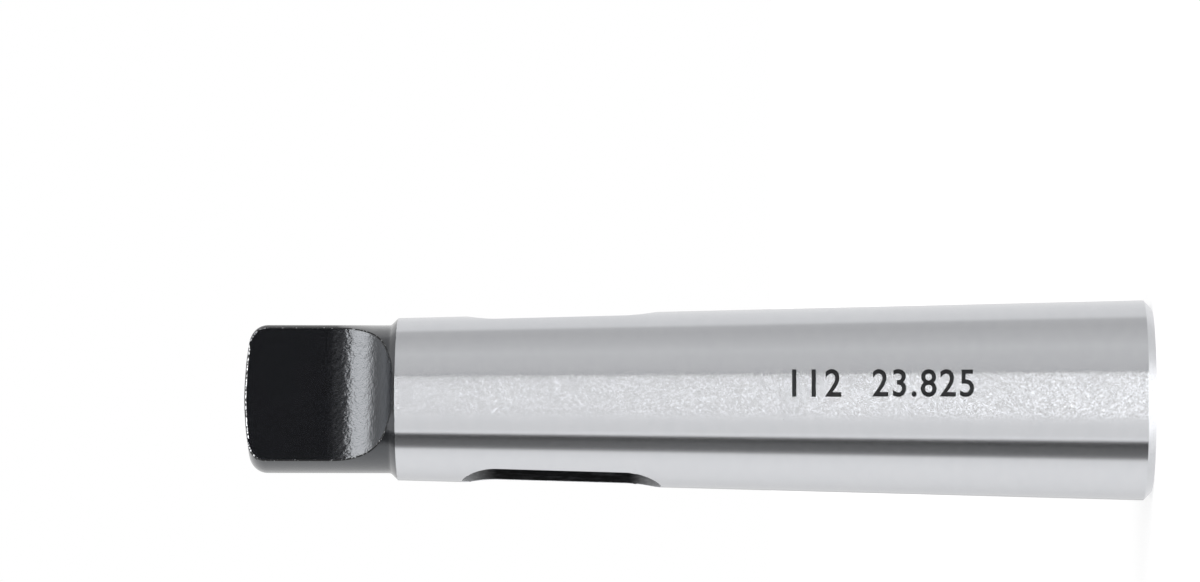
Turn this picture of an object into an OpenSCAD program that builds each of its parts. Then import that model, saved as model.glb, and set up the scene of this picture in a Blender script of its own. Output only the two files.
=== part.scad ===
// Morse taper sleeve: its No. 3 taper outside seats in a machine spindle, and the No. 2
// socket inside holds the taper shank of a drill or reamer. One piece of hardened steel.
// It stands on its mouth face at z = 0 with the tang at the top. The drift slot runs
// through it along X, and the flats of the tang face -Y and +Y.

/* [Overall] */
// Length from the mouth face to the tip of the tang
overall_length = 112; // [108:0.5:120]

/* [Outside taper] */
// Diameter at the outside gauge plane
outer_gauge_d = 23.825; // [23.4:0.005:24.4]
// Distance from the mouth face to the outside gauge plane
outer_gauge_z = 18; // [10:0.5:24]
// Length over which the outside diameter falls by 1 mm
outer_taper_run = 19.922; // [19:0.001:21]
// Chamfer round the outer edge of the mouth face
face_chamfer = 1; // [0.3:0.1:1.8]

/* [Tang] */
// Length from the small end of the outside taper to the tip of the tang
tang_length = 19; // [17:0.5:22]
// Step in from the small end of the outside taper to the barrel of the tang
tang_step = 0.88; // [0.7:0.01:1.6]
// Thickness across the two flats
tang_thickness = 7.7; // [6.5:0.1:9]
// Length of each flat, from the tip to where the cutter's arc begins
flat_length = 11; // [9:0.5:11.5]
// Radius of the cutter that leaves the arc at the root of each flat
cutter_r = 8; // [6:0.5:9]
// Radius of the domed tip
dome_r = 40; // [20:1:80]
// Radius that rounds the rim of the dome
rim_r = 2.2; // [1:0.1:3.5]
// Fillet at the foot of the 45 degree shoulder
shoulder_fillet = 0.6; // [0.2:0.1:1]

/* [Centre hole] */
// Diameter at the mouth of the 60 degree centre in the tip
centre_d = 3.2; // [2:0.1:4.5]
// Diameter of the pilot hole under the centre
pilot_d = 1.25; // [0.8:0.05:1.6]
// Depth of the centre and its pilot, from the tip
centre_depth = 4; // [3.5:0.1:6]

/* [Socket] */
// Diameter of the socket at the mouth face
socket_gauge_d = 17.78; // [17.5:0.005:18]
// Length over which the socket's diameter falls by 1 mm
socket_taper_run = 20.02; // [19:0.001:21]
// Chamfer round the mouth of the socket
mouth_chamfer = 0.8; // [0.2:0.1:1.5]
// Diameter of the plain relief bore past the taper
relief_d = 14.9; // [14.7:0.05:15.4]
// Depth of the relief bore, from the mouth face to the start of its drill point
relief_depth = 67; // [64:0.5:72]
// Angle of the drill point at the bottom of the relief bore
drill_point_angle = 118; // [90:1:140]

/* [Drift slot] */
// Distance from the mouth face to the near end of the slot
slot_start = 60.5; // [58:0.1:64]
// Length of the slot over its round ends
slot_length = 24.5; // [22:0.1:26.5]
// Width of the slot
slot_width = 8.6; // [6.3:0.1:10]

/* [Hidden] */
$fn = 120;

ground_steel = [0.78, 0.79, 0.80];
black_oxide = [0.12, 0.12, 0.13];
// What a cutting shape reaches past the face that it opens
clear = 1;
// What the fillet's arc cuts past the faces that it blends, so that they meet cleanly
graze = 0.002;

// Outside radius of the taper at height z
function outer_r(z) = (outer_gauge_d + (outer_gauge_z - z) / outer_taper_run) / 2;
// Radius of the socket's taper at height z
function socket_r(z) = (socket_gauge_d - z / socket_taper_run) / 2;

shoulder_z = overall_length - tang_length;
// Radius of the tang before its flats are cut, and where the 45 degree shoulder meets it
tang_r = outer_r(shoulder_z) - tang_step;
shoulder_foot_z = shoulder_z + tang_step;
// Centre of the fillet, which touches the 45 degree shoulder and the tang's barrel
fillet_x = tang_r + shoulder_fillet;
fillet_z = shoulder_foot_z + shoulder_fillet * (sqrt(2) - 1);
fillet_touch = shoulder_fillet / sqrt(2);

dome_z = overall_length - dome_r;
// Centre of the rim's arc, which touches the dome and the tang's barrel
rim_x = tang_r - rim_r;
rim_angle = asin(rim_x / (dome_r - rim_r));
rim_z = dome_z + (dome_r - rim_r) * cos(rim_angle);

// What the slot and the flats' cutter reach sideways, well past the sleeve
cutter_reach = outer_gauge_d;

// Half section of the tapered body, up to the top of the shoulder fillet
module body_profile() {
    difference() {
        polygon([
            [0, 0],
            [outer_r(0) - face_chamfer, 0],
            [outer_r(face_chamfer), face_chamfer],
            [outer_r(shoulder_z), shoulder_z],
            [fillet_x - fillet_touch, fillet_z - fillet_touch],
            [fillet_x, fillet_z],
            [0, fillet_z]
        ]);
        translate([fillet_x, fillet_z]) circle(shoulder_fillet + graze);
    }
}

// Half section of the tang before its flats are cut: a barrel, a dome and a rounded rim
module tang_profile() {
    translate([0, shoulder_z]) square([tang_r, rim_z - shoulder_z]);
    translate([rim_x, rim_z]) circle(rim_r);
    intersection() {
        translate([0, dome_z]) circle(dome_r);
        polygon([
            [0, rim_z - rim_r],
            [rim_x, rim_z - rim_r],
            [rim_x, rim_z],
            [rim_x + 2 * rim_r * sin(rim_angle), rim_z + 2 * rim_r * cos(rim_angle)],
            [0, overall_length + rim_r]
        ]);
    }
}

// Section of the space that the cutter clears on the +Y side, as Y across and Z up
module flat_cut_profile() {
    flat_end_z = overall_length - flat_length;
    translate([tang_thickness / 2, flat_end_z])
        square([cutter_reach, flat_length + clear]);
    translate([tang_thickness / 2 + cutter_r, flat_end_z]) {
        circle(cutter_r);
        translate([0, -cutter_r]) square([cutter_reach, cutter_r + clear]);
    }
}

module tang_flats() {
    for (side = [0, 1])
        mirror([0, side, 0])
            rotate([90, 0, 90])
                linear_extrude(2 * cutter_reach, center = true)
                    flat_cut_profile();
}

// Centre hole in the tip, on which the sleeve is held while its tapers are ground
module tang_centre() {
    cone_depth = (centre_d - pilot_d) / 2 / tan(30);
    pilot_r = pilot_d / 2;
    translate([0, 0, overall_length])
        rotate_extrude()
            polygon([
                [0, clear],
                [centre_d / 2 + clear * tan(30), clear],
                [pilot_r, -cone_depth],
                [pilot_r, -centre_depth],
                [0, -centre_depth - pilot_r / tan(drill_point_angle / 2)]
            ]);
}

// Tapered socket with its mouth chamfer, opened at its deep end by the relief bore
module socket() {
    relief_r = relief_d / 2;
    drill_tip_z = relief_depth + relief_r / tan(drill_point_angle / 2);
    rotate_extrude() {
        polygon([
            [0, -clear],
            [socket_r(mouth_chamfer) + mouth_chamfer + clear, -clear],
            [socket_r(mouth_chamfer), mouth_chamfer],
            [socket_r(relief_depth), relief_depth],
            [0, relief_depth]
        ]);
        polygon([
            [0, 0],
            [relief_r, 0],
            [relief_r, relief_depth],
            [0, drill_tip_z]
        ]);
    }
}

// Slot for the drift that knocks the drill out, with full round ends
module drift_slot() {
    end_r = slot_width / 2;
    translate([0, 0, slot_start])
        rotate([90, 0, 90])
            linear_extrude(2 * cutter_reach, center = true) {
                translate([-end_r, end_r]) square([slot_width, slot_length - slot_width]);
                translate([0, end_r]) circle(end_r);
                translate([0, slot_length - end_r]) circle(end_r);
            }
}

module sleeve() {
    difference() {
        union() {
            color(ground_steel) rotate_extrude() body_profile();
            color(black_oxide) rotate_extrude() tang_profile();
        }
        color(ground_steel) socket();
        color(black_oxide) drift_slot();
        color(black_oxide) tang_flats();
        color(black_oxide) tang_centre();
    }
}

sleeve();
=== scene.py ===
"""Looks of a reducing sleeve for taper shank tools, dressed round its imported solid.

The sleeve stands on its mouth face at z = 0 with its tang at the top. The classes hold their
sizes in millimetres, as the sleeve's drawing would, and their meshes are built in metres.
"""

import logging
import math
from collections.abc import Callable
from dataclasses import dataclass
from enum import IntEnum

import bmesh
import bpy
from mathutils import Matrix, Vector

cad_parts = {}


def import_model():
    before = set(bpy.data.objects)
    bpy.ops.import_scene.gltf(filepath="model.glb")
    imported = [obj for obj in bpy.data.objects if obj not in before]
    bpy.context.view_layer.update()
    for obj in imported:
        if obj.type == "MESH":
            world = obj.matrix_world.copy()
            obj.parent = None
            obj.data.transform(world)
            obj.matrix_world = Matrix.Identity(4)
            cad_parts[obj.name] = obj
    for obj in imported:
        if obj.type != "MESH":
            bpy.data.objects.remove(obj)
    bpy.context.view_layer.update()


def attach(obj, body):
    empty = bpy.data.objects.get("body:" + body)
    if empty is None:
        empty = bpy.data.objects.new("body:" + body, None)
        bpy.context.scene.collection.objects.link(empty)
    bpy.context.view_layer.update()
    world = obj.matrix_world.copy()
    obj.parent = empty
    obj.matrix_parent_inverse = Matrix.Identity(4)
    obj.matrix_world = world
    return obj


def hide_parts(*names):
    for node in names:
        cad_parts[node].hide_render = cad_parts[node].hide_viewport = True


LOG = logging.getLogger("sleeve")
MM = 0.001
MICRON = 0.000001
# Degrees by which the photograph's view is turned round the sleeve's axis, away from +Y
VIEW_TURN = 9.4
WHITE = (1.0, 1.0, 1.0, 1.0)
Point = tuple[float, float]
Stops = list[Point]
Colour = tuple[float, float, float]
Density = tuple[float, float, float]
Socket = bpy.types.NodeSocket
Object = bpy.types.Object
Material = bpy.types.Material
BMesh = bmesh.types.BMesh


class Finish(IntEnum):
    """The finishes of the sleeve's faces, in the order of its material slots."""

    GROUND = 0
    TURNED = 1
    OXIDE = 2
    MILLED = 3
    SLOT = 4
    WORN = 5
    STONED = 6


def arc(centre: Point, radius: float, start: float, stop: float, steps: int) -> list[Point]:
    """Points along an arc in the plane of a profile.

    Args:
        centre: The arc's centre.
        radius: The arc's radius.
        start: Angle of the first point in degrees, from the first coordinate's axis.
        stop: Angle of the last point in degrees.
        steps: Number of chords.

    Returns:
        The points from start to stop, both included.
    """
    angles = [math.radians(start + (stop - start) * i / steps) for i in range(steps + 1)]
    return [(centre[0] + radius * math.cos(a), centre[1] + radius * math.sin(a)) for a in angles]


def add_object(name: str, data: bpy.types.ID) -> Object:
    """Adds an object to the scene.

    Args:
        name: Name of the object.
        data: Its mesh, curve, light or camera.

    Returns:
        The new object, at the origin.
    """
    made = bpy.data.objects.new(name, data)
    bpy.context.scene.collection.objects.link(made)
    return made


def link_mesh(name: str, bm: BMesh) -> Object:
    """Turns a bmesh into an object of the scene, and frees it.

    Args:
        name: Name of the object and its mesh.
        bm: The finished bmesh.

    Returns:
        The new object, at the origin.
    """
    mesh = bpy.data.meshes.new(name)
    bm.to_mesh(mesh)
    bm.free()
    return add_object(name, mesh)


def pull(bm: BMesh, way: tuple[float, float, float]) -> None:
    """Gives a flat bmesh its thickness, so that its faces are doubled some way off.

    Args:
        bm: The bmesh.
        way: The way to the new faces.
    """
    grown = bmesh.ops.extrude_face_region(bm, geom=bm.faces[:], use_keep_orig=True)
    moved = [part for part in grown["geom"] if isinstance(part, bmesh.types.BMVert)]
    bmesh.ops.translate(bm, verts=moved, vec=way)


def settle(piece: Object) -> None:
    """Makes what a piece's modifiers leave its own mesh.

    Args:
        piece: The object with its modifiers.
    """
    bpy.context.view_layer.update()
    graph = bpy.context.evaluated_depsgraph_get()
    done = bpy.data.meshes.new_from_object(
        piece.evaluated_get(graph), preserve_all_data_layers=True, depsgraph=graph
    )
    piece.modifiers.clear()
    piece.data = done


@dataclass(frozen=True)
class SleeveSizes:
    """Sizes of the sleeve in millimetres, the same as those of its solid."""

    overall_length: float = 112.0
    outer_gauge_d: float = 23.825
    outer_gauge_z: float = 18.0
    outer_taper_run: float = 19.922
    face_chamfer: float = 1.0
    tang_length: float = 19.0
    tang_step: float = 0.88
    tang_thickness: float = 7.7
    flat_length: float = 11.0
    cutter_r: float = 8.0
    dome_r: float = 40.0
    rim_r: float = 2.2
    shoulder_fillet: float = 0.6
    centre_d: float = 3.2
    pilot_d: float = 1.25
    centre_angle: float = 60.0
    centre_depth: float = 4.0
    socket_gauge_d: float = 17.78
    socket_taper_run: float = 20.02
    mouth_chamfer: float = 0.8
    relief_d: float = 14.9
    relief_depth: float = 67.0
    drill_point_angle: float = 118.0
    slot_start: float = 60.5
    slot_length: float = 24.5
    slot_width: float = 8.6

    def outer_r(self, z: float) -> float:
        """Outside radius of the taper at height z."""
        return (self.outer_gauge_d + (self.outer_gauge_z - z) / self.outer_taper_run) / 2

    def socket_r(self, z: float) -> float:
        """Radius of the socket's taper at height z."""
        return (self.socket_gauge_d - z / self.socket_taper_run) / 2

    def dome_z(self, r: float) -> float:
        """Height of the domed tip at radius r."""
        return self.overall_length - self.dome_r + math.sqrt(self.dome_r**2 - r**2)

    @property
    def shoulder_z(self) -> float:
        """Height of the small end of the outside taper."""
        return self.overall_length - self.tang_length

    @property
    def tang_r(self) -> float:
        """Radius of the tang's barrel."""
        return self.outer_r(self.shoulder_z) - self.tang_step

    @property
    def rim_angle(self) -> float:
        """Angle from the axis at which the dome runs into its rim, in radians."""
        return math.asin((self.tang_r - self.rim_r) / (self.dome_r - self.rim_r))

    @property
    def rim_z(self) -> float:
        """Height of the centre of the rim's round."""
        reach = (self.dome_r - self.rim_r) * math.cos(self.rim_angle)
        return self.overall_length - self.dome_r + reach


@dataclass
class Sleeve:
    """The sleeve itself: a turned blank, cut by the drift slot and by the flats of its tang.

    The edge breaks are widths in millimetres. The tang's flats are broken wide round the domed
    tip, and about half as wide along the barrel and the cutter's arc. Points nearer than weld
    are merged, those along a cut edge nearer than rim_weld, and clear is what a flat's cutter
    reaches past the tip.
    """

    sizes: SleeveSizes
    segments: int = 120
    arc_steps: int = 48
    slot_steps: int = 32
    rim_steps: int = 10
    fillet_steps: int = 5
    taper_rings: tuple[float, ...] = (88.0, 58.0, 30.0)
    dome_rings: tuple[float, ...] = (2.9, 5.4)
    ring_break: float = 0.05
    shoulder_break: float = 0.04
    tip_break: float = 0.24
    side_break: float = 0.11
    root_break: float = 0.12
    slot_break: float = 0.08
    break_steps: int = 3
    sharp_angle: float = 35.0
    weld: float = 0.001
    rim_weld: float = 0.03
    clear: float = 3.0

    def build(self, finishes: dict[Finish, Material]) -> Object:
        """Turns the blank, cuts it, breaks its edges and settles its shading.

        Args:
            finishes: The material of each finish.

        Returns:
            The finished piece.
        """
        cutters = [self.slot_cutter(), self.flat_cutter(1), self.flat_cutter(-1)]
        piece = self.blank()
        for shape in [piece, *cutters]:
            for finish in Finish:
                shape.data.materials.append(finishes[finish])
        for cutter in cutters:
            cut = piece.modifiers.new(cutter.name, "BOOLEAN")
            cut.operation = "DIFFERENCE"
            cut.solver = "EXACT"
            cut.material_mode = "INDEX"
            cut.object = cutter
        settle(piece)
        for cutter in cutters:
            bpy.data.objects.remove(cutter)
        self.break_edges(piece, Finish.MILLED, self.tang_break, Finish.WORN)
        self.break_edges(piece, Finish.SLOT, self.slot_rim_break, Finish.STONED)
        self.smooth(piece)
        piece.name = piece.data.name = "finished_sleeve"
        return piece

    def turn(self, bm: BMesh, profile: list[Point], finish: Finish) -> None:
        """Turns one run of the profile round the axis.

        Args:
            bm: The bmesh that gets the faces.
            profile: Points of the run as radius and height.
            finish: The finish of the run's faces.
        """
        phase = math.pi / self.segments
        verts = [
            bm.verts.new((r * math.cos(phase) * MM, r * math.sin(phase) * MM, z * MM))
            for r, z in profile
        ]
        edges = [bm.edges.new(pair) for pair in zip(verts, verts[1:])]
        before = set(bm.faces)
        bmesh.ops.spin(
            bm,
            geom=[*verts, *edges],
            cent=(0, 0, 0),
            axis=(0, 0, 1),
            angle=math.tau,
            steps=self.segments,
            use_merge=True,
        )
        for face in set(bm.faces) - before:
            face.material_index = finish

    def centre_run(self) -> list[Point]:
        """Profile of the centre hole.

        Returns:
            Points as radius and height, from the drill point to the domed tip.
        """
        s = self.sizes
        pilot_r, mouth_r = s.pilot_d / 2, s.centre_d / 2
        slope = math.tan(math.radians(s.centre_angle / 2))
        floor_z = s.overall_length - s.centre_depth
        point_z = floor_z - pilot_r / math.tan(math.radians(s.drill_point_angle / 2))
        mouth_r -= (s.overall_length - s.dome_z(mouth_r)) * slope
        cone_foot_z = s.dome_z(mouth_r) - (mouth_r - pilot_r) / slope
        return [(0, point_z), (pilot_r, floor_z), (pilot_r, cone_foot_z), (mouth_r, s.dome_z(mouth_r))]

    def tang_run(self) -> list[Point]:
        """Profile of the tang, whose fillet runs into the 45 degree shoulder.

        Returns:
            Points as radius and height, from the centre hole over dome, rim, barrel and fillet.
        """
        s = self.sizes
        radii = [self.centre_run()[-1][0], *self.dome_rings]
        dome = [(r, s.dome_z(r)) for r in radii]
        rim_start = 90 - math.degrees(s.rim_angle)
        rim = arc((s.tang_r - s.rim_r, s.rim_z), s.rim_r, rim_start, 0, self.rim_steps)
        fillet_z = s.shoulder_z + s.tang_step + s.shoulder_fillet * (math.sqrt(2) - 1)
        fillet_centre = (s.tang_r + s.shoulder_fillet, fillet_z)
        fillet = arc(fillet_centre, s.shoulder_fillet, 180, 225, self.fillet_steps)
        return [*dome, *rim, *fillet]

    def blank(self) -> Object:
        """Turns the whole blank and breaks its round edges.

        Returns:
            The blank as an object.
        """
        s = self.sizes
        centre, tang = self.centre_run(), self.tang_run()
        shoulder = (s.outer_r(s.shoulder_z), s.shoulder_z)
        rings = [(s.outer_r(z), z) for z in self.taper_rings]
        body = (s.outer_r(s.face_chamfer), s.face_chamfer)
        face = (s.outer_r(0) - s.face_chamfer, 0.0)
        mouth = (s.socket_r(s.mouth_chamfer) + s.mouth_chamfer, 0.0)
        socket = (s.socket_r(s.mouth_chamfer), s.mouth_chamfer)
        relief_r = s.relief_d / 2
        relief = (relief_r, (s.socket_gauge_d - s.relief_d) * s.socket_taper_run)
        drill_tip_z = s.relief_depth + relief_r / math.tan(math.radians(s.drill_point_angle / 2))
        bm = bmesh.new()
        self.turn(bm, centre, Finish.OXIDE)
        self.turn(bm, tang, Finish.OXIDE)
        self.turn(bm, [tang[-1], shoulder], Finish.OXIDE)
        self.turn(bm, [shoulder, *rings, body], Finish.GROUND)
        self.turn(bm, [body, face, mouth, socket], Finish.TURNED)
        self.turn(bm, [socket, relief], Finish.GROUND)
        self.turn(bm, [relief, (relief_r, s.relief_depth), (0, drill_tip_z)], Finish.OXIDE)
        bmesh.ops.remove_doubles(bm, verts=bm.verts[:], dist=self.weld * MM)
        bmesh.ops.recalc_face_normals(bm, faces=bm.faces[:])
        self.break_ring(bm, shoulder, self.shoulder_break)
        for corner in (centre[-1], body, face, mouth, socket):
            self.break_ring(bm, corner, self.ring_break)
        return link_mesh("blank", bm)

    def break_ring(self, bm: BMesh, corner: Point, width: float) -> None:
        """Rounds a circular edge of the blank.

        Args:
            bm: The blank's bmesh.
            corner: Radius and height of the edge.
            width: Width of the break.
        """
        near = self.weld * MM
        r, z = corner[0] * MM, corner[1] * MM
        ring = [
            edge
            for edge in bm.edges
            if all(abs(v.co.z - z) < near and abs(v.co.xy.length - r) < near for v in edge.verts)
        ]
        bmesh.ops.bevel(
            bm,
            geom=ring,
            offset=width * MM,
            offset_type="OFFSET",
            affect="EDGES",
            segments=self.break_steps,
            profile=0.5,
            material=-1,
        )

    def prism(self, name: str, outline: list[Point], finish: Finish) -> Object:
        """Makes a cutter that reaches through the sleeve along X.

        Args:
            name: Name of the cutter.
            outline: Its section as Y and Z.
            finish: The finish that it leaves on the faces it cuts.

        Returns:
            The cutter as an object.
        """
        reach = self.sizes.outer_gauge_d * MM
        bm = bmesh.new()
        bm.faces.new([bm.verts.new((-reach, y * MM, z * MM)) for y, z in outline])
        pull(bm, (2 * reach, 0, 0))
        bmesh.ops.recalc_face_normals(bm, faces=bm.faces[:])
        for face in bm.faces:
            face.material_index = finish
        return link_mesh(name, bm)

    def slot_cutter(self) -> Object:
        """Makes the cutter of the drift slot, which has full round ends.

        Returns:
            The cutter as an object.
        """
        s = self.sizes
        end_r = s.slot_width / 2
        low = arc((0, s.slot_start + end_r), end_r, 180, 360, self.slot_steps)
        high = arc((0, s.slot_start + s.slot_length - end_r), end_r, 0, 180, self.slot_steps)
        return self.prism("slot_cutter", [*low, *high], Finish.SLOT)

    def flat_cutter(self, side: int) -> Object:
        """Makes the cutter of one flat and of the arc at its root.

        Args:
            side: 1 for the flat that faces +Y, -1 for the other.

        Returns:
            The cutter as an object.
        """
        s = self.sizes
        flat_y = s.tang_thickness / 2
        top_z = s.overall_length + self.clear
        far_y = s.outer_gauge_d
        centre = (flat_y + s.cutter_r, s.overall_length - s.flat_length)
        root = arc(centre, s.cutter_r, 180, 270, self.arc_steps)
        outline = [(flat_y, top_z), *root, (far_y, root[-1][1]), (far_y, top_z)]
        return self.prism(f"flat_cutter_{side}", [(side * y, z) for y, z in outline], Finish.MILLED)

    def tang_break(self, z: float) -> float:
        """Gives the width of the break along the edge of a flat.

        Args:
            z: Height of the place.

        Returns:
            The width: wide on the dome, narrowing over the rim to that along the barrel, with
            one of its own at the root.
        """
        s = self.sizes
        if z < s.overall_length - s.flat_length:
            return self.root_break
        dome_foot_z = s.rim_z + s.rim_r * math.cos(s.rim_angle)
        share = (z - s.rim_z) / (dome_foot_z - s.rim_z)
        return self.side_break + (self.tip_break - self.side_break) * min(max(share, 0.0), 1.0) ** 2

    def slot_rim_break(self, z: float) -> float:
        """Gives the width of the break round the drift slot, which is the same all round."""
        return self.slot_break

    def break_edges(
        self, piece: Object, cut: Finish, width: Callable[[float], float], left: Finish
    ) -> None:
        """Rounds the edges between a cutter's faces and the outside of the blank.

        Args:
            piece: The cut sleeve.
            cut: The finish that the cutter left.
            width: Function that gives the break's width at a height.
            left: The finish of the new faces.
        """
        outside = {Finish.OXIDE, Finish.TURNED, Finish.GROUND}
        bm = bmesh.new()
        bm.from_mesh(piece.data)
        weight = bm.edges.layers.float.get("bevel_weight_edge")
        if weight is None:
            weight = bm.edges.layers.float.new("bevel_weight_edge")
        rim = []
        for edge in bm.edges:
            kinds = {Finish(face.material_index) for face in edge.link_faces}
            reach = (edge.verts[0].co.xy + edge.verts[1].co.xy).length / 2
            inside = reach < self.sizes.socket_gauge_d / 2 * MM and cut == Finish.SLOT
            if cut in kinds and kinds & outside and not inside:
                rim.append(edge)
        # Merging depends on the points' order, which the cut leaves different each time
        corners = sorted({v for edge in rim for v in edge.verts}, key=lambda v: tuple(v.co))
        bmesh.ops.remove_doubles(bm, verts=corners, dist=self.rim_weld * MM)
        for edge in bm.edges:
            edge[weight] = 0.0
        for edge in (e for e in rim if e.is_valid):
            z = (edge.verts[0].co.z + edge.verts[1].co.z) / 2 / MM
            edge[weight] = width(z) / self.tip_break
        bm.to_mesh(piece.data)
        bm.free()
        bevel = piece.modifiers.new("break", "BEVEL")
        bevel.limit_method = "WEIGHT"
        bevel.width = self.tip_break * MM
        bevel.segments = self.break_steps
        bevel.profile = 0.5
        bevel.material = left
        bevel.use_clamp_overlap = False
        settle(piece)

    def smooth(self, piece: Object) -> None:
        """Shades the sleeve smooth, but for its sharp edges and the borders of its breaks.

        Args:
            piece: The sleeve.
        """
        limit = math.radians(self.sharp_angle)
        bm = bmesh.new()
        bm.from_mesh(piece.data)
        for face in bm.faces:
            face.smooth = True
        for edge in bm.edges:
            kinds = {Finish(face.material_index) for face in edge.link_faces}
            seam = len(kinds) == 2 and kinds & {Finish.WORN, Finish.STONED}
            edge.smooth = not seam and edge.calc_face_angle(0) < limit
        bm.to_mesh(piece.data)
        bm.free()
        shading = piece.modifiers.new("shading", "WEIGHTED_NORMAL")
        shading.mode = "FACE_AREA"
        shading.keep_sharp = True
        settle(piece)


@dataclass
class SizeMark:
    """Plain numbers marked dark on the taper: the length and the gauge diameter in millimetres.

    They are laid out flat, with x along the sleeve towards its mouth and y round it. They are
    then cut into strips, given their depth and rolled on to the taper, where they stand proud.
    """

    sizes: SleeveSizes
    groups: tuple[tuple[str, float], ...] = (("112", 44.4), ("23.825", 34.6))
    height: float = 3.45
    narrowing: float = 0.88
    spacing: float = 1.12
    boldness: float = 0.012
    fineness: int = 6
    above_axis: float = 2.1
    strip: float = 0.25
    weld: float = 0.001
    shortest: float = 0.005
    depth: float = 0.02
    stand: float = 0.012

    def build(self, material: Material) -> Object:
        """Makes the mark and lays it on the taper.

        Args:
            material: The mark's finish.

        Returns:
            The finished piece.
        """
        bm = bmesh.new()
        for text, start_z in self.groups:
            self.add_group(bm, text, start_z)
        rows = math.ceil(self.height / self.strip)
        for row in range(1, rows):
            level = (row / rows - 0.5) * self.height
            every = [*bm.verts, *bm.edges, *bm.faces]
            bmesh.ops.bisect_plane(bm, geom=every, plane_co=(0, level, 0), plane_no=(0, 1, 0))
        bmesh.ops.dissolve_degenerate(bm, edges=bm.edges[:], dist=self.shortest)
        pull(bm, (0, 0, self.depth))
        for vert in bm.verts:
            vert.co = self.roll(vert.co)
        bmesh.ops.recalc_face_normals(bm, faces=bm.faces[:])
        mark = link_mesh("size_mark", bm)
        mark.data.materials.append(material)
        return mark

    def add_group(self, bm: BMesh, text: str, start_z: float) -> None:
        """Adds one group of figures, laid out flat in millimetres.

        Args:
            bm: The bmesh that gets the figures.
            text: The figures.
            start_z: Height at which the group starts.
        """
        curve = bpy.data.curves.new("figures", "FONT")
        curve.body = text
        curve.resolution_u = self.fineness
        curve.space_character = self.spacing
        curve.offset = self.boldness
        writing = add_object("figures", curve)
        bpy.context.view_layer.update()
        flat = bpy.data.meshes.new_from_object(writing)
        bpy.data.objects.remove(writing)
        bottom = min(v.co.y for v in flat.vertices)
        scale = self.height / (max(v.co.y for v in flat.vertices) - bottom)
        left = min(v.co.x for v in flat.vertices)
        stretch = Matrix.Diagonal((scale * self.narrowing, scale, 1, 1))
        flat.transform(stretch @ Matrix.Translation((-left, -bottom, 0)))
        flat.transform(Matrix.Translation((-start_z, -self.height / 2, 0)))
        bm.from_mesh(flat)
        bmesh.ops.remove_doubles(bm, verts=bm.verts[:], dist=self.weld)

    def roll(self, flat: Vector) -> Vector:
        """Rolls a point of the flat layout on to the taper.

        Args:
            flat: The point, with x towards the mouth, y round the sleeve and z outwards.

        Returns:
            The point on the taper, in metres.
        """
        z = -flat.x
        r = self.sizes.outer_r(z)
        turn = math.radians(-90.0 - VIEW_TURN) + (flat.y + self.above_axis) / r
        r += flat.z + self.stand - self.depth
        return Vector((r * math.cos(turn), r * math.sin(turn), z)) * MM


class Wiring:
    """Shader nodes while they are being wired."""

    def __init__(self, tree: bpy.types.NodeTree) -> None:
        """Empties the node tree, to wire it anew."""
        self.tree = tree
        self.tree.nodes.clear()

    def node(self, kind: str, **settings: object) -> bpy.types.Node:
        """Adds a node.

        Args:
            kind: The node's type.
            **settings: Properties to set on it.

        Returns:
            The new node.
        """
        made = self.tree.nodes.new(kind)
        for name, value in settings.items():
            setattr(made, name, value)
        return made

    def feed(self, target: Socket, value: object) -> None:
        """Links a socket to an input, or sets the input to a value.

        Args:
            target: The input.
            value: The socket or the value.
        """
        if isinstance(value, Socket):
            self.tree.links.new(value, target)
        else:
            target.default_value = value

    def wire(self, kind: str, *values: object, **settings: object) -> Socket:
        """Adds a node and feeds its inputs in their order.

        Args:
            kind: The node's type.
            *values: Sockets or values for its first inputs.
            **settings: Properties to set on it.

        Returns:
            Its first output.
        """
        made = self.node(kind, **settings)
        for target, value in zip(made.inputs, values):
            self.feed(target, value)
        return made.outputs[0]

    def math(self, operation: str, *values: object) -> Socket:
        """Adds a sum of numbers."""
        return self.wire("ShaderNodeMath", *values, operation=operation)

    def vector(self, operation: str, *values: object) -> Socket:
        """Adds a sum of vectors whose result is a vector."""
        return self.wire("ShaderNodeVectorMath", *values, operation=operation)

    def part(self, vector: Socket, axis: str) -> Socket:
        """Takes a vector's coordinate along X, Y or Z."""
        parts = self.node("ShaderNodeSeparateXYZ")
        self.feed(parts.inputs[0], vector)
        return parts.outputs[axis]

    def blend(
        self, factor: object, first: object, second: object, kind: str = "FLOAT"
    ) -> Socket:
        """Mixes two numbers or colours.

        Args:
            factor: The share of the second, from 0 to 1.
            first: What a factor of 0 gives.
            second: What a factor of 1 gives.
            kind: FLOAT for numbers, RGBA for colours.

        Returns:
            The mixture.
        """
        made = self.node("ShaderNodeMix", data_type=kind)
        for name, value in (("Factor", factor), ("A", first), ("B", second)):
            self.feed(made.inputs[name], value)
        return made.outputs["Result"]

    def level(self, source: Socket, stops: Stops) -> Socket:
        """Looks a value up on a line through given stops.

        Args:
            source: The value, from 0 to 1.
            stops: Places and the levels there, from 0 to 1.

        Returns:
            The level.
        """
        return self.shade(source, [(place, (height, height, height)) for place, height in stops])

    def shade(self, source: Socket, stops: list[tuple[float, Colour]]) -> Socket:
        """Looks a value up on a run of colours.

        Args:
            source: The value, from 0 to 1.
            stops: Places and the colours there.

        Returns:
            The colour.
        """
        made = self.node("ShaderNodeValToRGB")
        elements = made.color_ramp.elements
        for place, _ in stops[2:]:
            elements.new(place)
        for element, (place, colour) in zip(elements, stops):
            element.position = place
            element.color = (*colour, 1.0)
        self.feed(made.inputs[0], source)
        return made.outputs["Color"]

    def spread(self, source: Socket, low: float, high: float) -> Socket:
        """Spreads a value from low to high over 0 to 1, and stops it there."""
        return self.wire("ShaderNodeMapRange", source, low, high, clamp=True)


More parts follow.
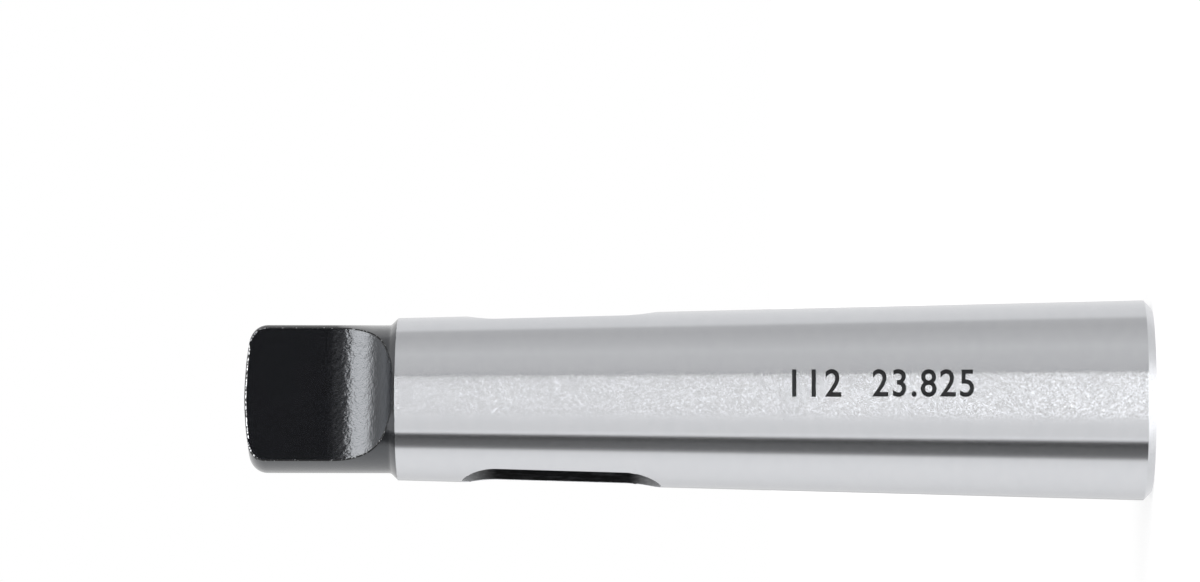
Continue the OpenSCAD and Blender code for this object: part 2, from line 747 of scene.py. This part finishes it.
class Surface(Wiring):
    """A surface's material while it is being wired."""

    def __init__(self, name: str) -> None:
        """Starts a material of that name with its surface shader."""
        self.material = bpy.data.materials.new(name)
        self.material.use_nodes = True
        super().__init__(self.material.node_tree)
        self.shader = self.node("ShaderNodeBsdfPrincipled")
        output = self.node("ShaderNodeOutputMaterial")
        self.feed(output.inputs["Surface"], self.shader.outputs["BSDF"])
        self.place = self.node("ShaderNodeTexCoord").outputs["Object"]

    def set(self, name: str, value: object) -> None:
        """Sets or links one of the surface shader's inputs."""
        self.feed(self.shader.inputs[name], value)

    def paint(self, source: Socket, stops: Point, colours: tuple[Colour, Colour]) -> None:
        """Colours the surface, from the first colour at the first stop to the second."""
        self.set("Base Color", self.shade(source, list(zip(stops, colours))))

    def round_axis(self) -> Socket:
        """Gives the unit direction round the sleeve's axis at each point."""
        axis = (0.0, 0.0, 1.0)
        return self.vector("NORMALIZE", self.vector("CROSS_PRODUCT", axis, self.place))

    def height(self) -> Socket:
        """Gives the height of each point, in metres."""
        return self.part(self.place, "Z")

    def noise(self, per_mm: Density, detail: float = 2.0) -> Socket:
        """Adds noise with its own density along each axis.

        Args:
            per_mm: Features to the millimetre along X, Y and Z.
            detail: Octaves of finer noise.

        Returns:
            The noise, from 0 to 1.
        """
        mapping = self.node("ShaderNodeMapping")
        mapping.inputs["Scale"].default_value = [count / MM for count in per_mm]
        self.feed(mapping.inputs["Vector"], self.place)
        noise = self.node("ShaderNodeTexNoise")
        noise.inputs["Scale"].default_value = 1.0
        noise.inputs["Detail"].default_value = detail
        self.feed(noise.inputs["Vector"], mapping.outputs[0])
        return noise.outputs["Fac"]

    def grains(self, per_mm: float) -> Socket:
        """Adds grains that each have a level of their own, which a sum takes from their colour.

        Args:
            per_mm: Grains to the millimetre.

        Returns:
            The level, from 0 to 1.
        """
        cells = self.node("ShaderNodeTexVoronoi")
        cells.inputs["Scale"].default_value = per_mm / MM
        self.feed(cells.inputs["Vector"], self.place)
        return self.math("MULTIPLY", cells.outputs["Color"], 1.0)

    def tilt(self, share: Socket, degrees: float) -> None:
        """Tilts the surface along the axis.

        Args:
            share: The tilt, from fully down at 0 to fully up at 1.
            degrees: The most that the surface tilts.
        """
        slope = 2.0 * math.tan(math.radians(degrees))
        rise = self.math("MULTIPLY_ADD", share, slope, -slope / 2.0)
        lift = self.wire("ShaderNodeCombineXYZ", 0.0, 0.0, rise)
        normal = self.node("ShaderNodeNewGeometry").outputs["Normal"]
        self.set("Normal", self.vector("NORMALIZE", self.vector("ADD", normal, lift)))

    def relief(self, height: Socket, microns: float) -> None:
        """Adds relief to the surface, on top of what it has.

        Args:
            height: The relief, from 0 to 1.
            microns: Its depth in micrometres.
        """
        bump = self.node("ShaderNodeBump")
        bump.inputs["Strength"].default_value = 1.0
        bump.inputs["Distance"].default_value = microns * MICRON
        self.feed(bump.inputs["Height"], height)
        normal = self.shader.inputs["Normal"]
        if normal.is_linked:
            self.feed(bump.inputs["Normal"], normal.links[0].from_socket)
        self.feed(normal, bump.outputs[0])


@dataclass(frozen=True)
class BrightSteel:
    """Bright steel with fine marks round the axis, from the grinding wheel or the lathe.

    Each grain leans a little up or down the axis and has its own gloss, which gives the speckle.
    """

    name: str
    colour: Colour = (0.775, 0.785, 0.812)
    dull: Colour = (0.755, 0.766, 0.795)
    cloud_per_mm: Density = (0.4, 0.4, 0.8)
    cloud_stops: Point = (0.40, 0.80)
    grain_cloud: float = 0.2
    roughness: float = 0.26
    unevenness: float = 0.014
    grain_tilt: float = 6.9
    grain_per_mm: float = 5.6
    anisotropy: float = 1.0
    gloss_turn: float = 0.25
    marks_per_mm: float = 6.0
    mark_length: float = 20.0
    mark_depth: float = 1.5

    def build(self) -> Material:
        """Builds the material.

        Returns:
            The material.
        """
        surface = Surface(self.name)
        surface.set("Metallic", 1.0)
        grain = surface.grains(self.grain_per_mm)
        least = self.roughness - self.unevenness
        uneven = surface.math("MULTIPLY_ADD", grain, 2.0 * self.unevenness, least)
        surface.set("Roughness", uneven)
        surface.tilt(grain, self.grain_tilt)
        surface.set("Anisotropic", self.anisotropy)
        surface.set("Anisotropic Rotation", self.gloss_turn)
        surface.set("Tangent", surface.round_axis())
        cloud = surface.noise(self.cloud_per_mm, detail=4.0)
        cloud = surface.math("MULTIPLY_ADD", grain, self.grain_cloud, cloud)
        surface.paint(cloud, self.cloud_stops, (self.dull, self.colour))
        along = self.marks_per_mm / self.mark_length
        surface.relief(surface.noise((along, along, self.marks_per_mm)), self.mark_depth)
        return surface.material


@dataclass(frozen=True)
class BlackOxide:
    """Steel blackened in a salt bath and oiled, with the marks of its cutting below.

    From calm_from_z up, only a share of its relief is left. Where the gloss given for the +X
    side is below the full gloss, painted shade darkens the reflection on that side of the tang:
    the gloss is lowered and the oil coat taken off, past a span off the axis and from a span of
    heights up. Each span gives where the painted shade starts and where it is full, in
    millimetres.
    """

    name: str
    colour: Colour = (0.004, 0.0043, 0.0054)
    faded: Colour = (0.009, 0.0095, 0.011)
    tint: Colour = (0.87, 0.92, 1.0)
    cloud_per_mm: Density = (0.5, 0.5, 0.5)
    cloud_stops: Point = (0.35, 0.7)
    roughness: float = 0.2
    ior: float = 1.75
    grain_per_mm: Density = (4.0, 4.0, 4.0)
    grain_depth: float = 15.0
    swell_per_mm: Density = (1.0, 1.0, 1.0)
    swell_depth: float = 20.0
    calm_from_z: float = 200.0
    calm_over: float = 1.0
    calm_share: float = 0.25
    full_gloss: float = 0.5
    # The gloss of the painted shade on the +X side, and its spans off the axis and up the tang
    shaded_gloss: float = 0.5
    shade_from: Point = (5.5, 7.5)
    shade_above: Point = (96.0, 100.5)
    oil: float = 0.9
    oil_roughness: float = 0.1

    def build(self) -> Material:
        """Builds the material.

        Returns:
            The material.
        """
        surface = Surface(self.name)
        surface.set("Roughness", self.roughness)
        surface.set("IOR", self.ior)
        surface.set("Specular Tint", (*self.tint, 1.0))
        # Painted shade: less gloss and no oil coat on the +X side of the tang
        if self.shaded_gloss < self.full_gloss:
            side = self.painted_shade_side(surface)
            surface.set("Specular IOR Level", surface.blend(side, self.full_gloss, self.shaded_gloss))
            surface.set("Coat Weight", surface.blend(side, self.oil, 0.0))
            surface.set("Coat Roughness", self.oil_roughness)
        cloud = surface.noise(self.cloud_per_mm, detail=4.0)
        surface.paint(cloud, self.cloud_stops, (self.colour, self.faded))
        rough_to_z = self.calm_from_z - self.calm_over
        calm = surface.spread(surface.height(), rough_to_z * MM, self.calm_from_z * MM)
        share = surface.blend(calm, 1.0, self.calm_share)
        swell = surface.noise(self.swell_per_mm, detail=1.0)
        grain = surface.noise(self.grain_per_mm, detail=3.0)
        for height, depth in ((swell, self.swell_depth), (grain, self.grain_depth)):
            surface.relief(surface.math("MULTIPLY", height, share), depth)
        return surface.material

    def painted_shade_side(self, surface: Surface) -> Socket:
        """Gives the share of painted shade, which darkens the +X side of the tang.

        Args:
            surface: The surface that is being wired.

        Returns:
            The share of painted shade, from 0 to 1.
        """
        side = surface.spread(surface.part(surface.place, "X"), *(x * MM for x in self.shade_from))
        above = surface.spread(surface.height(), *(z * MM for z in self.shade_above))
        return surface.math("MULTIPLY", side, above)


@dataclass(frozen=True)
class SlotWalls:
    """The walls of the drift slot: blackened, and turning to grey steel towards the round ends.

    The grey starts and is full at given distances past the straight walls, in millimetres.
    """

    name: str
    sizes: SleeveSizes
    oxide: Colour = (0.003, 0.0032, 0.004)
    streak: Colour = (0.045, 0.046, 0.05)
    steel: Colour = (0.75, 0.76, 0.78)
    oxide_roughness: float = 0.35
    steel_roughness: float = 0.6
    streaks_per_mm: Density = (5.0, 5.0, 0.7)
    streak_stops: Point = (0.45, 0.75)
    streak_depth: float = 20.0
    grey_from: float = 0.2
    grey_full: float = 3.9
    grey_power: float = 1.5
    least: float = 0.54
    most: float = 0.9

    def build(self) -> Material:
        """Builds the material.

        Returns:
            The material.
        """
        s = self.sizes
        surface = Surface(self.name)
        middle = s.slot_start + s.slot_length / 2
        straight = (s.slot_length - s.slot_width) / 2
        off = surface.math("ABSOLUTE", surface.math("SUBTRACT", surface.height(), middle * MM))
        grey = surface.spread(off, (straight + self.grey_from) * MM, (straight + self.grey_full) * MM)
        grey = surface.math("POWER", grey, self.grey_power)
        streaks = surface.noise(self.streaks_per_mm, detail=3.0)
        grey = surface.math("MULTIPLY", grey, surface.blend(streaks, self.least, self.most))
        oxide = surface.shade(streaks, list(zip(self.streak_stops, (self.oxide, self.streak))))
        surface.set("Base Color", surface.blend(grey, oxide, (*self.steel, 1.0), "RGBA"))
        surface.set("Metallic", grey)
        surface.set("Roughness", surface.blend(grey, self.oxide_roughness, self.steel_roughness))
        surface.relief(streaks, self.streak_depth)
        return surface.material


@dataclass(frozen=True)
class WornEdge:
    """The broken edge of a blackened part, rubbed bright in places and most of all at the tip.

    The side of the break that faces up past a given share is still black.
    """

    name: str
    oxide: Colour = (0.003, 0.0032, 0.004)
    steel: Colour = (0.75, 0.76, 0.78)
    roughness: float = 0.3
    ior: float = 1.55
    patches_per_mm: Density = (3.6, 3.6, 3.6)
    bare_stops: Point = (0.60, 0.72)
    worn_from_z: float = 109.4
    worn_full_z: float = 110.8
    extra_wear: float = 0.15
    black_from_up: float = 0.56
    black_over: float = 0.08
    dents_per_mm: Density = (5.0, 5.0, 5.0)
    dent_depth: float = 3.0

    def build(self) -> Material:
        """Builds the material.

        Returns:
            The material.
        """
        surface = Surface(self.name)
        surface.set("Roughness", self.roughness)
        surface.set("IOR", self.ior)
        tip = surface.spread(surface.height(), self.worn_from_z * MM, self.worn_full_z * MM)
        rubbed = surface.noise(self.patches_per_mm, detail=3.0)
        rubbed = surface.math("MULTIPLY_ADD", tip, self.extra_wear, rubbed)
        bare = surface.spread(rubbed, *self.bare_stops)
        up = surface.part(surface.node("ShaderNodeTexCoord").outputs["Normal"], "Z")
        below = surface.spread(up, self.black_from_up + self.black_over, self.black_from_up)
        bare = surface.math("MULTIPLY", bare, below)
        surface.set("Metallic", bare)
        surface.paint(bare, (0.0, 1.0), (self.oxide, self.steel))
        surface.relief(surface.noise(self.dents_per_mm), self.dent_depth)
        return surface.material


@dataclass(frozen=True)
class BurntMark:
    """The dark, matt film that marking by heat leaves on bright steel."""

    name: str
    colour: Colour = (0.009, 0.0092, 0.0105)
    edge: Colour = (0.018, 0.0185, 0.021)
    roughness: float = 0.55
    ior: float = 1.4
    spots_per_mm: Density = (4.0, 4.0, 4.0)
    spot_stops: Point = (0.35, 0.7)
    spot_depth: float = 4.0

    def build(self) -> Material:
        """Builds the material.

        Returns:
            The material.
        """
        surface = Surface(self.name)
        surface.set("Roughness", self.roughness)
        surface.set("IOR", self.ior)
        spots = surface.noise(self.spots_per_mm, detail=3.0)
        surface.paint(spots, self.spot_stops, (self.colour, self.edge))
        surface.relief(spots, self.spot_depth)
        return surface.material


@dataclass
class Studio:
    """A plain pale floor, a white surround and soft light.

    Bright steel shows what stands round it, so the surround has the room's pale and dark strips
    for gloss alone. Their turns are degrees from the camera's side, clockwise as seen from
    above, and their rises are degrees above the level. Both are twice those of the direction
    halfway to the camera's side, which is that of the surface that shows the place there.

    The floor's and the lamp's lengths are in metres.
    """

    floor_half: float = 8.0
    floor_colour: float = 0.5
    near_glow: float = 0.61
    far_glow: float = 0.8
    near_reach: float = 0.25
    far_reach: float = 1.0
    plain_level: float = 0.6
    # Levels by turn of the strips that stand all the way up
    strips: tuple[Point, ...] = (
        (-180, 0.4), (-169, 0.8), (-150, 0.82), (-114, 0.76), (-110, 0.54), (-98, 0.52),
        (-80, 0.58), (-66, 0.65), (-56, 0.62), (-48, 0.61), (-40, 0.58), (-35, 0.50),
        (-34, 0.015), (16, 0.015), (25, 0.81), (35, 0.78), (44, 0.785), (48.3, 1.2),
        (48.8, 0.03), (55, 0.07), (59, 0.14), (64, 0.145), (69, 0.18), (72, 0.30),
        (74, 0.82), (90, 0.88), (105, 0.87), (124, 0.82), (140, 0.74), (163, 0.70),
        (171, 0.45), (180, 0.4),
    )
    # Share by turn of the lit bands in front
    softbox: tuple[Point, ...] = (
        (-34.0, 0.0), (-33.2, 1.0), (-28, 1.0), (-22, 1.02), (-12, 1.04), (16, 1.03), (25, 0.0),
    )
    # Levels by rise of those bands
    heights: tuple[Point, ...] = (
        (-70, 0.0), (-69, 2.25), (-9, 2.25), (-8, 0.0), (5, 0.0), (12, 0.07), (28, 0.11),
        (34, 0.2), (36, 2.4), (73, 2.4), (75, 0.9), (82, 0.55), (88, 0.28), (92, 0.22),
        (97, 0.42), (102, 0.56), (108, 0.40), (114, 0.65), (120, 0.90), (124, 0.5),
        (128, 0.25), (140, 0.15), (155, 0.05),
    )
    # Levels by turn from below, which start and are full at the rises of under_from
    under: tuple[Point, ...] = (
        (-180, 0.90), (-120, 0.88), (-91, 0.74), (-66, 0.74), (-48, 0.87), (-36, 1.2),
        (-28, 1.45), (24, 1.45), (36, 1.25), (50, 1.02), (68, 0.87), (91, 0.77), (120, 0.80),
        (180, 0.90),
    )
    under_from: Point = (-76.0, -82.0)
    lamp_far: float = 1.2
    lamp_width: float = 1.6
    lamp_height: float = 1.2
    lamp_level: float = 1.4
    lamp_turn: float = -20.0
    lamp_slope: float = 1.1

    def build(self) -> None:
        """Builds the floor, the surround and the lamp."""
        self.floor()
        self.surround()
        self.lamp()

    def toward(self, turn: float) -> Vector:
        """Gives a level direction from the sleeve.

        Args:
            turn: Degrees from the camera's side, clockwise as seen from above.

        Returns:
            The unit direction.
        """
        angle = math.radians(-90.0 - VIEW_TURN - turn)
        return Vector((math.cos(angle), math.sin(angle), 0.0))

    def floor(self) -> None:
        """Lays the floor."""
        bm = bmesh.new()
        bmesh.ops.create_grid(bm, x_segments=1, y_segments=1, size=self.floor_half)
        floor = link_mesh("floor", bm)
        floor.data.materials.append(self.floor_paint())
        floor.visible_glossy = False

    def floor_paint(self) -> Material:
        """Builds the floor's paint, which is clear from below.

        It looks white where it is lit and keeps the sleeve's shadow. To the camera it glows, and
        more so far from the sleeve, so that it meets the white surround without a seam.

        Returns:
            The material.
        """
        material = bpy.data.materials.new("pale_floor")
        material.use_nodes = True
        wiring = Wiring(material.node_tree)
        paint = wiring.wire("ShaderNodeBsdfDiffuse", (*[self.floor_colour] * 3, 1.0))
        reach = wiring.node("ShaderNodeVectorMath", operation="LENGTH")
        wiring.feed(reach.inputs[0], wiring.node("ShaderNodeTexCoord").outputs["Object"])
        far = wiring.spread(reach.outputs["Value"], self.near_reach, self.far_reach)
        level = wiring.blend(far, self.near_glow, self.far_glow)
        camera = wiring.node("ShaderNodeLightPath").outputs["Is Camera Ray"]
        glow = wiring.wire("ShaderNodeEmission", WHITE, wiring.math("MULTIPLY", camera, level))
        above = wiring.wire("ShaderNodeAddShader", paint, glow)
        below = wiring.wire("ShaderNodeBsdfTransparent")
        back = wiring.node("ShaderNodeNewGeometry").outputs["Backfacing"]
        both = wiring.wire("ShaderNodeMixShader", back, above, below)
        wiring.feed(wiring.node("ShaderNodeOutputMaterial").inputs["Surface"], both)
        return material

    def around(self, marks: tuple[Point, ...]) -> Stops:
        """Turns marks at degrees of turn into stops from 0 to 1."""
        return [((turn + 180.0) / 360.0, level) for turn, level in marks]

    def share(self, marks: tuple[Point, ...], most: float) -> Stops:
        """Turns marks at degrees into stops from 0 to 1, with the levels as shares of the most."""
        return [(place, level / most) for place, level in self.around(marks)]

    def surround(self) -> None:
        """Sets the world: white to the camera, even to matt paint, and the strips to gloss."""
        world = bpy.data.worlds.new("surround")
        bpy.context.scene.world = world
        world.use_nodes = True
        world.cycles.sampling_method = "NONE"
        wiring = Wiring(world.node_tree)
        path = wiring.node("ShaderNodeLightPath")
        seen = self.gloss_level(wiring)
        seen = wiring.blend(path.outputs["Is Glossy Ray"], self.plain_level, seen)
        seen = wiring.blend(path.outputs["Is Camera Ray"], seen, 1.0)
        background = wiring.wire("ShaderNodeBackground", WHITE, seen)
        wiring.feed(wiring.node("ShaderNodeOutputWorld").inputs["Surface"], background)

    def gloss_level(self, wiring: Wiring) -> Socket:
        """Works out what gloss meets in the surround.

        Args:
            wiring: The world's nodes.

        Returns:
            The level in each direction.
        """
        ray = wiring.node("ShaderNodeTexCoord").outputs["Generated"]
        halfway = wiring.vector("ADD", ray, self.toward(0.0))
        x, y, z = (wiring.part(halfway, axis) for axis in "XYZ")
        start = math.radians(-90.0 - VIEW_TURN)
        turned = wiring.math("SUBTRACT", start, wiring.math("ARCTAN2", y, x))
        share = wiring.math("FRACT", wiring.math("MULTIPLY_ADD", turned, 1.0 / math.pi, 0.5))
        most = max(level for _, level in (*self.heights, *self.strips, *self.under))
        strips = wiring.level(share, self.share(self.strips, most))
        under = wiring.level(share, self.share(self.under, most))
        front = wiring.level(share, self.around(self.softbox))
        squares = [wiring.math("POWER", side, 2.0) for side in (x, y)]
        across = wiring.math("SQRT", wiring.math("ADD", *squares))
        rise = wiring.math("MULTIPLY_ADD", wiring.math("ARCTAN2", z, across), 1.0 / math.pi, 0.5)
        height = wiring.level(rise, self.share(self.heights, most))
        seen = wiring.math("MULTIPLY_ADD", front, height, strips)
        high, low = (0.5 + rise_there / 360.0 for rise_there in self.under_from)
        seen = wiring.blend(wiring.spread(rise, high, low), seen, under)
        return wiring.math("MULTIPLY", seen, most)

    def lamp(self) -> None:
        """Hangs the lamp that gives the sleeve its soft shadow on the floor."""
        light = bpy.data.lights.new("key", "AREA")
        light.shape = "RECTANGLE"
        light.size = self.lamp_width
        light.size_y = self.lamp_height
        light.energy = self.lamp_level * math.pi * self.lamp_width * self.lamp_height
        lamp = add_object("key", light)
        way = (self.toward(self.lamp_turn) + Vector((0.0, 0.0, self.lamp_slope))).normalized()
        lamp.location = way * self.lamp_far
        lamp.rotation_euler = way.to_track_quat("Z", "Y").to_euler()
        lamp.visible_camera = False
        lamp.visible_glossy = False


@dataclass
class PhotoCamera:
    """The camera of the photograph, which sees the sleeve lying on its side.

    The distance and the height of the point that it stands level with are in millimetres, the
    focal length is in picture widths, and the turns are in degrees.
    """

    distance: float = 820.7
    foot_z: float = 51.64
    focal: float = 5.53
    yaw: float = 1.147
    pitch: float = 0.937
    roll: float = 0.086
    sensor: float = 36.0

    def build(self) -> None:
        """Makes the camera and gives it to the scene."""
        angle = math.radians(VIEW_TURN)
        forward = Vector((math.sin(angle), math.cos(angle), 0.0))
        up = Vector((math.cos(angle), -math.sin(angle), 0.0))
        aim = Matrix((forward.cross(up), up, -forward)).transposed().to_4x4()
        place = Matrix.Translation((Vector((0, 0, self.foot_z)) - forward * self.distance) * MM)
        for turn, axis in ((self.yaw, "Y"), (self.pitch, "X"), (self.roll, "Z")):
            aim = aim @ Matrix.Rotation(math.radians(turn), 4, axis)
        camera = add_object("camera", bpy.data.cameras.new("camera"))
        camera.data.sensor_width = self.sensor
        camera.data.lens = self.focal * self.sensor
        camera.matrix_world = place @ aim
        bpy.context.scene.camera = camera


def make_finishes(sizes: SleeveSizes) -> dict[Finish, Material]:
    """Builds the material of each finish.

    Args:
        sizes: The sleeve's sizes, for the finishes that change from place to place.

    Returns:
        The materials by finish.
    """
    return {
        Finish.GROUND: BrightSteel("ground_steel").build(),
        Finish.TURNED: BrightSteel(
            "turned_steel", roughness=0.25, anisotropy=0.5, marks_per_mm=3.0
        ).build(),
        # Its tang gets painted shade on the +X side, with a gloss of 0.015 there
        Finish.OXIDE: BlackOxide("oxide_turned", shaded_gloss=0.015).build(),
        Finish.MILLED: BlackOxide(
            "oxide_milled",
            colour=(0.0028, 0.0031, 0.0045),
            faded=(0.0042, 0.0046, 0.0064),
            tint=(0.925, 0.955, 1.0),
            roughness=0.15,
            ior=2.65,
            grain_per_mm=(7.0, 7.0, 2.6),
            grain_depth=38.0,
            swell_per_mm=(1.5, 1.5, 1.5),
            swell_depth=48.0,
            calm_from_z=101.6,
        ).build(),
        Finish.SLOT: SlotWalls("oxide_slot", sizes).build(),
        Finish.WORN: WornEdge("worn_edge").build(),
        Finish.STONED: BrightSteel("stoned_edge", roughness=0.55, anisotropy=0.0).build(),
    }


def main() -> None:
    """Builds the sleeve's looks round its solid, then the studio and the camera."""
    logging.basicConfig(level=logging.INFO, format="%(name)s: %(message)s")
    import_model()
    bpy.context.scene.view_settings.view_transform = "Standard"

    sizes = SleeveSizes()
    sleeve = Sleeve(sizes).build(make_finishes(sizes))
    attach(sleeve, "root")
    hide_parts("sleeve")
    mark = SizeMark(sizes).build(BurntMark("burnt_mark").build())
    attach(mark, "root")
    for piece in (sleeve, mark):
        LOG.info("%s: %d faces", piece.name, len(piece.data.polygons))

    Studio().build()
    PhotoCamera().build()


if __name__ == "__main__":
    main()
